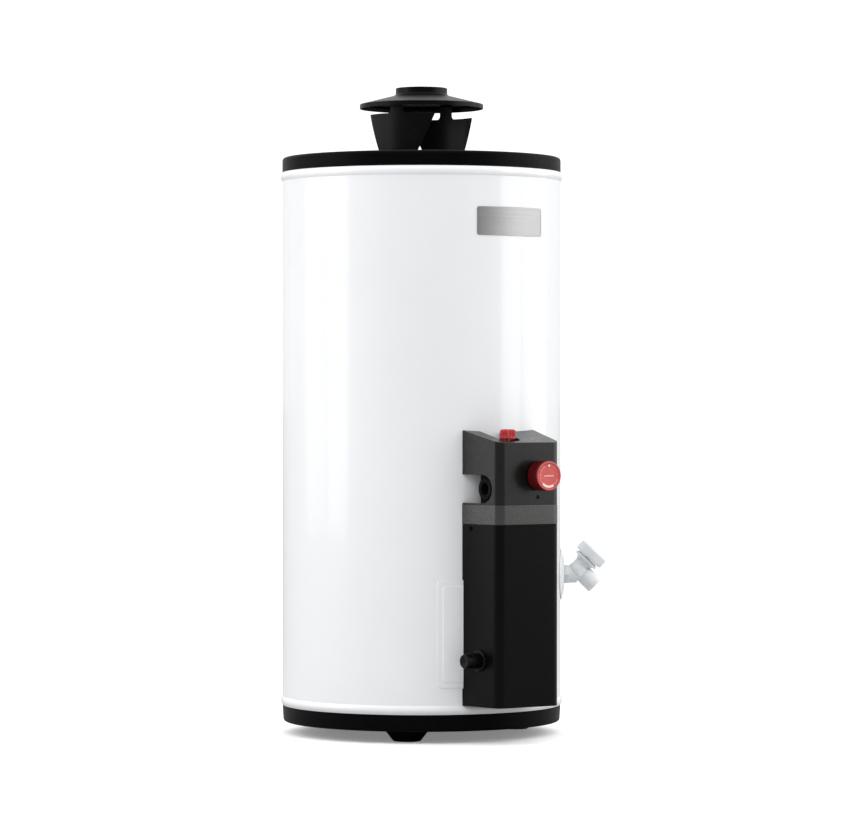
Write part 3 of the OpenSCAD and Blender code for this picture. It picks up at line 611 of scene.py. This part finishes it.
def build_feet():
    lower, upper, bolt_hole, wall = 0.0195, 0.033, 0.0032, 0.0015
    for node in FOOT_NODES:
        c = middle(node)
        h = high(node)[2]
        foot = lathe(node + "_cup", [
            (bolt_hole, 0, 0), (lower, 0, 0.0022), (upper - 0.001, h - 0.0012, 0.0012),
            (upper, h, 0.0004), (upper - 0.0016, h, 0.0004), (upper - 0.0025, h - 0.0014, 0.0008),
            (lower - 0.0012, wall, 0.0018), (bolt_hole, wall, 0)],
            Matrix.Translation((c.x, c.y, 0)), 96)
        placed(foot, "heater", GLOSS_BLACK, [node])


# ---------------------------------------------------------------- draft hood

HAT_R = high("draft_hood_cap")[0]
HAT_LOW = low("draft_hood_cap")[2]
COLLAR_TOP = high("draft_hood_cap")[2]
COLLAR_R = MOUNTS["flue_collar"]["dims"]["r_mm"] * MM
LEG_R = 0.081


def build_hood():
    wall = 0.0012
    cone = HAT_LOW + 0.0188
    profile = [
        (HAT_R, HAT_LOW, 0.0003), (HAT_R, HAT_LOW + 0.0064, 0.0014), (0.0415, cone, 0.002),
        (COLLAR_R, cone + 0.0022, 0.0018), (COLLAR_R, COLLAR_TOP, 0.0016),
        (COLLAR_R - 0.0028, COLLAR_TOP, 0.0012), (COLLAR_R - 0.0026, COLLAR_TOP - 0.0022, 0.0006),
        (COLLAR_R - wall, COLLAR_TOP - 0.0024, 0.0004), (COLLAR_R - wall, cone + 0.0018, 0.001),
        (0.0404, cone - 0.0008, 0.001), (HAT_R - wall, HAT_LOW + 0.0056, 0.001),
        (HAT_R - wall, HAT_LOW, 0.0003),
    ]
    cap = lathe("hood_hat", profile, steps=192)
    placed(cap, "heater", HOOD_BLACK, ["draft_hood_cap"], 30)

    top = HAT_LOW - 0.0106 - LID_TOP
    reach = HAT_LOW + 0.0078 - LID_TOP
    wide, waist, base, tab = (LEG_R * math.radians(a) for a in (41, 25, 20.5, 7))
    half = [
        (base, 0.0005, 0.001), (waist, 0.013, 0.012), (wide, top, 0.0035), (tab + 0.0025, top, 0.002),
        (tab, top + 0.003, 0.002), (tab, reach, 0.0005),
    ]
    outline = rounded_path(half + [(-p[0], *p[1:]) for p in reversed(half)], 6)
    for node, bearing in (("draft_hood_left_leg", LEG_BEARING),
                          ("draft_hood_right_leg", LEG_BEARING + 180)):
        leg = bent_plate(node + "_sheet", outline, 0.001, LEG_R - 0.001, bearing, LID_TOP, 0.00035, 0.0015)
        flange = bent_plate(node + "_flange", rounded_rectangle(0.046, 0.0012, 0.0004), 0.014,
                            LEG_R - 0.001, bearing, LID_TOP + 0.0007, 0.0003, 0.002)
        whole = joined(node + "_panel", leg, flange)
        placed(whole, "heater", HOOD_BLACK, [node], 30)


# ---------------------------------------------------------------- panels on the jacket

def build_panels():
    lo, hi = low("access_panel"), high("access_panel")
    height = hi[2] - lo[2]
    sweep = math.asin(hi[0] / (JACKET_R + 0.0012))
    width = 2 * sweep * JACKET_R
    z = (lo[2] + hi[2]) / 2
    rim, rim_slope, field_slope = 0.0075, 0.001, 0.002
    hole_z, hole_r = 0.112, 0.026
    base = bent_plate("panel_base", rounded_rectangle(width, height, 0.007), rim_slope * 2.2,
                      JACKET_R - rim_slope, 0, z, rim_slope)
    field = bent_plate("panel_field", rounded_rectangle(width - 2 * rim, height - 2 * rim, 0.006),
                       field_slope * 2.1, JACKET_R - field_slope * 0.9, 0, z, field_slope)
    hole = axis_frame((0, -JACKET_R, hole_z), (0, -1, 0))
    cut(base, disc_cutter(hole_r, 0.06, hole))
    cut(field, disc_cutter(hole_r, 0.06, hole))
    panel = joined("access_panel_pressing", base, field)
    placed(panel, "heater", ENAMEL, ["access_panel"], 30)


def build_nameplate():
    z = middle("nameplate").z
    bearing = 6
    width, height = 0.124, high("nameplate")[2] - low("nameplate")[2]
    plate = bent_plate("nameplate_metal", rounded_rectangle(width, height, 0.004), 0.0008,
                       JACKET_R + 0.0002, bearing, z, 0.00025, 0.003)
    outer = rounded_rectangle(width - 0.004, height - 0.004, 0.003)
    inner = rounded_rectangle(width - 0.0056, height - 0.0056, 0.0024)
    ridge = prism_ring("nameplate_border", outer, inner, 0.0003)
    bend(ridge, JACKET_R + 0.0009, bearing, z, 0.003)
    placed(plate, "heater", PLATE, ["nameplate"], 40)
    placed(ridge, "heater", PLATE, angle=40)


# ---------------------------------------------------------------- control cover and its controls

COVER_FRONT = -low("control_cover_lower")[1]
COVER_FLARE = 6.15  # degrees that each side face opens towards the jacket
COVER_HALF = 0.0537
SIDE_SCREW_OUT = 0.214
IGNITER_OUT = 0.233


def side_frame(out, z, side=-1):
    """Matrix on the cover's side face, its +Z pointing outward."""
    half = COVER_HALF + (COVER_FRONT - out) * math.tan(math.radians(COVER_FLARE))
    a = math.radians(COVER_FLARE)
    return axis_frame((side * half, -out, z), (side * math.cos(a), -math.sin(a), 0))


def cross_screw(name, matrix, r, head):
    """Pan-head screw with a cross recess, its head standing on the matrix's origin."""
    body = lathe(name, [(CENTRE_R, 0), (r, 0, 0.0002), (r, head * 0.45, r * 0.35), (r * 0.55, head, r * 0.3),
                        (CENTRE_R, head)], None, 40)
    for long_side, short_side in ((r * 1.2, r * 0.26), (r * 0.26, r * 1.2)):
        cut(body, box_cutter((-long_side / 2, -short_side / 2, head * 0.45),
                             (long_side / 2, short_side / 2, head * 2)))
    body.data.transform(matrix)
    return body


def build_cover():
    upper = softened("control_cover_upper", 0.0009, 3, 40)
    placed(upper, "heater", COVER_GREY, ["control_cover_upper"], 30)
    band = softened("control_cover_band", 0.0004, 2, 40)
    placed(band, "heater", BAND_GREY, ["control_cover_band"], 30)
    lower = softened("control_cover_lower", 0.0009, 3, 40)
    placed(lower, "heater", COVER_BLACK, ["control_cover_lower"], 30)
    z = middle("cover_screws").z
    screws = [cross_screw("side_screw", side_frame(SIDE_SCREW_OUT, z, s), 0.0034, 0.002) for s in (-1, 1)]
    placed(joined("cover_screw_heads", *screws), "heater", DARK_PAINT, ["cover_screws"])
    heads = [cross_screw("hood_screw", Matrix.Translation((x, y, LID_TOP + 0.0012)), 0.0036, 0.0024)
             for x, y in hood_screw_points()]
    placed(joined("hood_screw_heads", *heads), "heater", ZINC, ["draft_hood_screws"])


def hood_screw_points():
    """The middles of the four solids of the hood screws' node, over which their heads stand."""
    side, out = 0.014, LEG_R + 0.006
    for bearing in (LEG_BEARING, LEG_BEARING + 180):
        a = math.radians(bearing)
        across, away = Vector((math.cos(a), math.sin(a))), Vector((math.sin(a), -math.cos(a)))
        for s in (-side, side):
            yield across * s + away * out


DIAL = JOINTS["temperature_dial_turn"]["pos_m"]
DIAL_R = (high("temperature_dial")[0] - low("temperature_dial")[0]) / 2
DIAL_DEPTH = high("temperature_dial")[1] - low("temperature_dial")[1]
DIAL_FRAME = axis_frame((DIAL[0], high("temperature_dial")[1], DIAL[2]), (0, -1, 0))


def dial_mark(name, outline, depth, height):
    """A raised mark on the dial: outline in its face's XY, from height up by depth."""
    mark = prism(name, outline, depth, DIAL_FRAME @ Matrix.Translation((0, 0, height)))
    return painted(mark, DIAL_PRINT)


def arc_outline(inner, outer, start, end, steps):
    angles = [math.radians(start + (end - start) * i / steps) for i in range(steps + 1)]
    return ([(outer * math.cos(a), outer * math.sin(a)) for a in angles]
            + [(inner * math.cos(a), inner * math.sin(a)) for a in reversed(angles)])


def dial_marks(face):
    """Ticks in two runs, an arc, a dot and the bar across the middle, on a face at that height."""
    r, top = DIAL_R, face + 0.0003
    print_depth, tick_step, tick_width = 0.00025, 8, 1.6
    dot_r, dot_out, dot_sides = 0.0015, 0.0145, 24
    marks = []
    for start, count in ((122, 13), (312, 4)):
        for i in range(count):
            a = start + i * tick_step
            length = 0.0024 if i % 3 == 0 else 0.0014
            tick = arc_outline(r - 0.0052 - length, r - 0.0052, a, a + tick_width, 2)
            marks.append(dial_mark("tick", tick, print_depth, top))
    marks.append(dial_mark("arc", arc_outline(r - 0.0078, r - 0.0047, 226, 300, 24), print_depth, top))
    turns = [TAU * i / dot_sides for i in range(dot_sides)]
    dot = [(dot_r * math.cos(a), dot_out + dot_r * math.sin(a)) for a in turns]
    marks.append(dial_mark("dot", dot, 0.0006, top))
    bar = prism("bar", rounded_rectangle(0.0165, 0.001, 0.0004), 0.0008,
                DIAL_FRAME @ Matrix.Translation((0, 0, face - 0.0003)))
    marks.append(painted(bevelled(bar, 0.0002), DIAL_PRINT))
    return marks


def build_dial():
    r, depth = DIAL_R, DIAL_DEPTH
    face = depth - 0.0009
    skirt = lathe("dial_skirt", [
        (r - 0.004, 0, 0.0004), (r - 0.0008, 0, 0.0008, 0.2), (r - 0.0002, 0.003, 0.001, 1),
        (r, depth - 0.0045, 0.0006, 1), (r - 0.0001, depth - 0.0022, 0.001, 0.0),
        (r - 0.0012, depth, 0.0012), (r - 0.0032, depth, 0.0008), (r - 0.0042, face, 0.0004),
        (CENTRE_R, face), (CENTRE_R, 0.004), (r - 0.004, 0.004)],
        DIAL_FRAME, 360, ribs=60, rib_depth=0.0008, sharpness=0.7)
    # The skirt takes the dark red of painted shade; the face disc and rim keep the lighter red.
    painted(skirt, DIAL_SIDE_PAINTED_SHADE)
    disc = lathe("dial_disc", [(r - 0.0044, face - 0.0006, 0.0001), (r - 0.0045, face + 0.0004, 0.0003),
                               (0.0125, face + 0.0004, 0.0003), (0.0121, face + 0.0002, 0.0003),
                               (CENTRE_R, face + 0.0002), (CENTRE_R, face - 0.0006)], DIAL_FRAME, 128)
    painted(disc, DIAL_FACE)
    rim = lathe("dial_rim", [(r - 0.0009, depth - 0.0006, 0.0002), (r - 0.0011, depth + 0.0001, 0.0003),
                             (r - 0.0033, depth + 0.0001, 0.0003), (r - 0.0042, depth - 0.0007, 0.0002)],
                DIAL_FRAME, 128)
    painted(rim, DIAL_FACE)
    dial = joined("dial_knob", skirt, disc, rim, *dial_marks(face))
    placed(dial, "temperature_dial", None, ["temperature_dial"], 30)


def build_dial_surround():
    pointer_x, pointer_z = DIAL[0] - 0.001, 0.353
    bezel = softened("dial_bezel", 0.0003)
    placed(bezel, "heater", BLACK_PLASTIC, ["dial_bezel"])
    pointer_frame = axis_frame((pointer_x, -COVER_FRONT, pointer_z), (0, -1, 0))
    triangle = rounded_path([(0, 0.0035, 0.0006), (-0.0034, -0.0025, 0.0006), (0.0034, -0.0025, 0.0006)])
    pointer = prism("dial_pointer", triangle, 0.0004, pointer_frame)
    placed(pointer, "heater", DARK_PAINT)


def build_gas_cock():
    x, y = middle("gas_cock_knob").x, middle("gas_cock_knob").y
    z0, z1 = low("gas_cock_knob")[2], high("gas_cock_knob")[2]
    r = (high("gas_cock_knob")[0] - low("gas_cock_knob")[0]) / 2
    h = z1 - z0
    knob = lathe("gas_cock_cap", [
        (CENTRE_R, 0), (r - 0.0012, 0, 0.0006), (r, 0.0016, 0.0008, 0.3), (r, h * 0.45, 0.002, 1),
        (r - 0.0002, h - 0.0022, 0.0014, 1), (r - 0.0028, h, 0.0014, 0.3), (r - 0.005, h - 0.0002, 0.001),
        (CENTRE_R, h - 0.0002)], Matrix.Translation((x, y, z0)), 216,
        ribs=18, rib_depth=0.0012, sharpness=0.6)
    painted(knob, RED)
    mark = prism("cock_mark", rounded_rectangle(0.0016, 0.0075, 0.0006), 0.0003,
                 Matrix.Translation((x, y - 0.0042, z1 - 0.0003)))
    painted(mark, WHITE_PRINT)
    whole = joined("gas_cock_button", knob, mark)
    placed(whole, "gas_cock_knob", None, ["gas_cock_knob"], 34)
    collar = softened("gas_cock_bezel", 0.0004)
    placed(collar, "heater", BLACK_PLASTIC, ["gas_cock_bezel"])
    index = prism("cock_index", rounded_rectangle(0.002, 0.0045, 0.0005), 0.0002,
                  Matrix.Translation((x, y - 0.0112, high("gas_cock_bezel")[2])))
    placed(index, "heater", WHITE_PRINT)


def build_piezo():
    base = side_frame(IGNITER_OUT, middle("piezo_nut").z)
    body = lathe("piezo_barrel", [
        (0.009, -0.03, 0.001), (0.009, 0.0048), (0.0113, 0.0048, 0.0004), (0.0113, 0.019, 0.0008),
        (0.01037, 0.019, 0.0003), (0.01037, 0.0075), (0.004, 0.0075), (0.004, -0.03)], base, 96)
    placed(body, "heater", BLACK_PLASTIC, ["piezo_igniter_body"])
    nut = lathe("piezo_flange", [(0.0092, 0.0001), (0.0155, 0.0001, 0.0006), (0.0155, 0.0032, 0.001, 1),
                                 (0.0138, 0.0045, 0.001, 0.4), (0.0092, 0.0045)], base, 144, ribs=12,
                rib_depth=0.0009, sharpness=2.0)
    placed(nut, "heater", BLACK_PLASTIC, ["piezo_nut"])
    button = lathe("piezo_push", [
        (CENTRE_R, 0.0155), (0.0103, 0.0155, 0.0004), (0.0103, 0.027, 0.0005), (0.0098, 0.029, 0.0016),
        (0.0068, 0.029, 0.0012), (0.0052, 0.0281, 0.0012), (CENTRE_R, 0.0278)], base, 96)
    placed(button, "igniter_button", BLACK_PLASTIC, ["piezo_button"])


# ---------------------------------------------------------------- drain valve

HANDLE_AXIS = Vector(JOINTS["drain_handle_turn"]["axis"])
SPOUT_AXIS = Vector(MOUNTS["drain_outlet"]["axis"])
CHAMBER = bearing_point(DRAIN_BEARING, JACKET_R + 0.0256, DRAIN_Z + 0.0081)
HANDLE_FRAME = axis_frame(CHAMBER, HANDLE_AXIS)
SPOUT_FRAME = axis_frame(CHAMBER, SPOUT_AXIS)
INLET_FRAME = axis_frame(bearing_point(DRAIN_BEARING, JACKET_R, DRAIN_Z), DRAIN_OUT)
STEM_R = 0.0042


def build_drain_body():
    body = softened("drain_valve_body", 0.0006, 2, 40)
    placed(body, "heater", VALVE_WHITE, ["drain_valve_body"], 34)
    flats = lathe("drain_hex", [(0.0131, 0.004, 0.0006), (0.0154, 0.004, 0.0008), (0.0154, 0.013, 0.0008),
                                (0.0131, 0.013, 0.0006)], INLET_FRAME, 6)
    bevelled(flats, 0.0006)
    placed(flats, "heater", VALVE_WHITE)
    sleeve = lathe("drain_spout_sleeve", [(0.0112, 0.011), (0.0126, 0.0115, 0.001), (0.0134, 0.0165, 0.002),
                                          (0.0134, 0.0232), (0.0112, 0.0232)], SPOUT_FRAME, 96)
    placed(sleeve, "heater", VALVE_WHITE)
    bonnet = lathe("drain_bonnet_ring", [
        (STEM_R, 0.0106), (0.0118, 0.0106), (0.0137, 0.0116, 0.001), (0.0139, 0.0152, 0.001),
        (0.0186, 0.0154, 0.0008), (0.0192, 0.0168, 0.0006), (0.0192, 0.0194, 0.0008),
        (0.0168, 0.0196, 0.0006), (0.0164, 0.0212, 0.0004), (STEM_R, 0.0212)],
        HANDLE_FRAME, 128)
    placed(bonnet, "heater", VALVE_WHITE, ["drain_bonnet"])


def build_drain_wheel():
    r = 0.0233
    wheel = lathe("drain_wheel", [
        (STEM_R, 0.0216, 0.0004), (r - 0.0016, 0.0216, 0.0012, 0.3), (r, 0.0234, 0.0016, 1),
        (r, 0.0352, 0.0016, 1), (r - 0.0034, 0.039, 0.0024, 0.3), (0.0105, 0.039, 0.001),
        (0.0095, 0.0378, 0.0008), (0.0058, 0.0378, 0.0004), (0.0056, 0.0363), (STEM_R, 0.0363)],
        HANDLE_FRAME, 288, ribs=48, rib_depth=0.00025)
    painted(wheel, VALVE_WHITE)
    screw = cross_screw("handle_screw", HANDLE_FRAME @ Matrix.Translation((0, 0, 0.0365)), 0.005, 0.0023)
    painted(screw, ZINC)
    whole = joined("drain_hand_wheel", wheel, screw)
    placed(whole, "drain_handle", None, ["drain_handle"], 34)


def build_drain_dish():
    """The dish behind the valve, which follows the jacket's curve."""
    dish = lathe("drain_dish", [
        (0.0375, 0.0003, 0.0003), (0.0372, 0.0016, 0.0006), (0.0225, 0.0056, 0.002),
        (0.0165, 0.0056, 0.0008), (0.0165, 0.0042, 0.0003), (0.0218, 0.0042, 0.0015),
        (0.036, 0.0003, 0.0003)], None, 128)
    for v in dish.data.vertices:
        v.co.z -= JACKET_R - math.sqrt(JACKET_R ** 2 - v.co.x ** 2)
    dish.data.transform(INLET_FRAME)
    placed(dish, "heater", VALVE_WHITE, ["drain_escutcheon"])


def build_relief_port():
    a = Vector(RELIEF_PORT["axis"])
    z = RELIEF_PORT["pos_m"][2]
    rim = lathe("relief_port_grommet", [(0.0168, 0.0003, 0.0003), (0.0225, 0.0003, 0.0004),
                                        (0.0218, 0.0014, 0.0006), (0.0168, 0.0018, 0.0005)],
                axis_frame(a * JACKET_R + Vector((0, 0, z)), a), 64)
    placed(rim, "heater", GASKET)


build_jacket()
build_lid()
build_pan()
build_feet()
build_hood()
build_panels()
build_nameplate()
build_cover()
build_dial()
build_dial_surround()
build_gas_cock()
build_piezo()
build_drain_body()
build_drain_wheel()
build_drain_dish()
build_relief_port()


# ---------------------------------------------------------------- floor, light and camera

def backlight(look, seen, bounced, strength):
    """Floor that the camera sees near white, but that throws less light up on the object."""
    tree = look.node_tree
    shader = tree.nodes["Principled BSDF"]
    path = tree.nodes.new("ShaderNodeLightPath")
    colour = tree.nodes.new("ShaderNodeMix")
    colour.data_type = "RGBA"
    ends = [i for i in colour.inputs if i.type == "RGBA"]
    ends[0].default_value = (bounced, bounced, bounced, 1)
    ends[1].default_value = (seen, seen, seen, 1)
    tree.links.new(path.outputs["Is Camera Ray"], colour.inputs["Factor"])
    tree.links.new([o for o in colour.outputs if o.type == "RGBA"][0], shader.inputs["Base Color"])
    socket(shader, "Emission Color", (1, 1, 1, 1))
    lift = tree.nodes.new("ShaderNodeMath")
    lift.operation = "MULTIPLY"
    lift.inputs[1].default_value = strength
    tree.links.new(path.outputs["Is Camera Ray"], lift.inputs[0])
    tree.links.new(lift.outputs["Value"], shader.inputs["Emission Strength"])


FLOOR = material("floor_paper", (0.72, 0.72, 0.72), 0.75, mottle=0.004, mottle_scale=2, grain=300,
                 grain_depth=0.0001, grain_strength=0.05, specular=0.2)
backlight(FLOOR, 0.93, 0.48, 0.18)


def build_floor():
    bm = bmesh.new()
    bmesh.ops.create_grid(bm, x_segments=1, y_segments=1, size=90)
    floor = made("floor", bm)
    painted(floor, FLOOR)


build_floor()

CAMERA_AZIMUTH = -34
CAMERA_DISTANCE = 5.623
CAMERA_HEIGHT = 0.503
LENS = 162.8
SENSOR_WIDTH = 36
PITCH = 0.414


def view_direction(azimuth):
    """Level direction from the tank towards something at that azimuth, 0 being in front."""
    a = math.radians(azimuth)
    return Vector((math.sin(a), -math.cos(a), 0))


camera_data = bpy.data.cameras.new("camera")
camera_data.lens = LENS
camera_data.sensor_width = SENSOR_WIDTH
camera = bpy.data.objects.new("camera", camera_data)
bpy.context.collection.objects.link(camera)
camera.location = view_direction(CAMERA_AZIMUTH) * CAMERA_DISTANCE + Vector((0, 0, CAMERA_HEIGHT))
camera.rotation_euler = (math.radians(90 - PITCH), 0, math.radians(CAMERA_AZIMUTH))
bpy.context.scene.camera = camera


def softbox(name, azimuth, distance, height, width, tall, power, aim_height):
    data = bpy.data.lights.new(name, "AREA")
    data.shape = "RECTANGLE"
    data.size = width
    data.size_y = tall
    data.energy = power
    light = bpy.data.objects.new(name, data)
    bpy.context.collection.objects.link(light)
    light.location = view_direction(CAMERA_AZIMUTH + azimuth) * distance + Vector((0, 0, height))
    aim = Vector((0, 0, aim_height)) - light.location
    light.rotation_euler = aim.to_track_quat("-Z", "Y").to_euler()
    return light


KEY_SPREAD = 50
for side, azimuth, distance, height, width, tall, power, aim_height in (
        ("left_rear", -94, 2.2, 1.1, 1.0, 1.8, 5.4, 0.65),
        ("left_side", -70, 2.2, 1.1, 0.8, 1.8, 8.4, 0.65),
        ("left_front", -45, 2.6, 1.2, 1.2, 1.6, 9.4, 0.65),
        ("right_rear", 104, 2.2, 1.1, 1.3, 1.8, 10, 0.65),
        ("right_side", 76, 2.2, 1.1, 0.8, 1.8, 9.2, 0.65),
        ("right_front", 48, 2.6, 1.2, 1.2, 1.6, 5.4, 0.65),
        ("upper_front", -6, 3.0, 2.4, 1.6, 1.0, 1.1, 0.78)):
    light = softbox(side, azimuth, distance, height, width, tall, power, aim_height)
    light.visible_glossy = not side.endswith("front")
    if side == "upper_front":
        light.data.spread = math.radians(KEY_SPREAD)


def studio_world(horizon, zenith, dark, bright):
    """Dome, dim at the horizon; reflections see it dark on the camera's side and bright behind the tank."""
    seen_white = 1.05
    world = bpy.data.worlds.new("studio")
    world.use_nodes = True
    nodes, links = world.node_tree.nodes, world.node_tree.links
    place = nodes.new("ShaderNodeTexCoord")
    split = nodes.new("ShaderNodeSeparateXYZ")
    links.new(place.outputs["Generated"], split.inputs["Vector"])
    rise = nodes.new("ShaderNodeMapRange")
    rise.interpolation_type = "SMOOTHSTEP"
    rise.inputs["From Min"].default_value = 0.05
    rise.inputs["From Max"].default_value = 0.9
    path = nodes.new("ShaderNodeLightPath")
    base = nodes.new("ShaderNodeMix")
    base.inputs["A"].default_value = horizon
    behind = nodes.new("ShaderNodeVectorMath")
    behind.operation = "DOT_PRODUCT"
    behind.inputs[1].default_value = -view_direction(CAMERA_AZIMUTH)
    links.new(place.outputs["Generated"], behind.inputs[0])
    depth = nodes.new("ShaderNodeMapRange")
    depth.inputs["From Min"].default_value = -0.2
    depth.inputs["From Max"].default_value = 0.7
    depth.inputs["To Min"].default_value = dark
    depth.inputs["To Max"].default_value = bright
    links.new(behind.outputs["Value"], depth.inputs["Value"])
    links.new(depth.outputs["Result"], base.inputs["B"])
    links.new(path.outputs["Is Glossy Ray"], base.inputs["Factor"])
    links.new(base.outputs["Result"], rise.inputs["To Min"])
    rise.inputs["To Max"].default_value = zenith
    links.new(split.outputs["Z"], rise.inputs["Value"])
    nodes["Background"].inputs["Color"].default_value = (1, 1, 1, 1)
    seen = nodes.new("ShaderNodeMix")
    links.new(path.outputs["Is Camera Ray"], seen.inputs["Factor"])
    links.new(rise.outputs["Result"], seen.inputs["A"])
    seen.inputs["B"].default_value = seen_white
    links.new(seen.outputs["Result"], nodes["Background"].inputs["Strength"])
    return world


bpy.context.scene.world = studio_world(0.44, 1.22, 0.03, 0.75)
bpy.context.scene.view_settings.view_transform = "Standard"
bpy.context.scene.view_settings.exposure = 0.22
